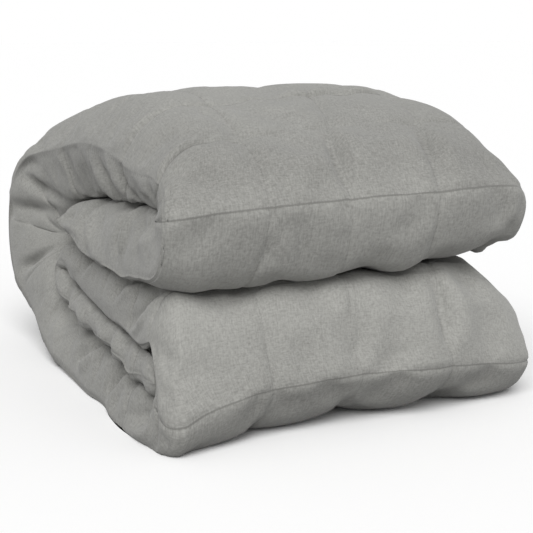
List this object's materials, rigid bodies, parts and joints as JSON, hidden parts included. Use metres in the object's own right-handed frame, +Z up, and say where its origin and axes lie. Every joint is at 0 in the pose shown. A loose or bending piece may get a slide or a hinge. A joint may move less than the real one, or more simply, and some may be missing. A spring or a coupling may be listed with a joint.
{
  "type": "folded weighted blanket",
  "caption": "Thick square-quilted weighted blanket in plain grey cloth, folded back and forth into a soft stack that is open at the front.",
  "frame": {"origin": "centre of the bounding box in plan, on the surface that the blanket lies on", "axes": "+X along the folds, from the layered end to the plain end; -Y faces the open front of the fold; +Z up"},
  "size_m": [0.4162, 0.5196, 0.3029],
  "materials": {
    "brushed_cloth": "matt brushed grey cloth with quilting seams in its own colour"
  },
  "bodies": {
    "root": {"weighted_blanket": "brushed_cloth"}
  },
  "joints": []
}
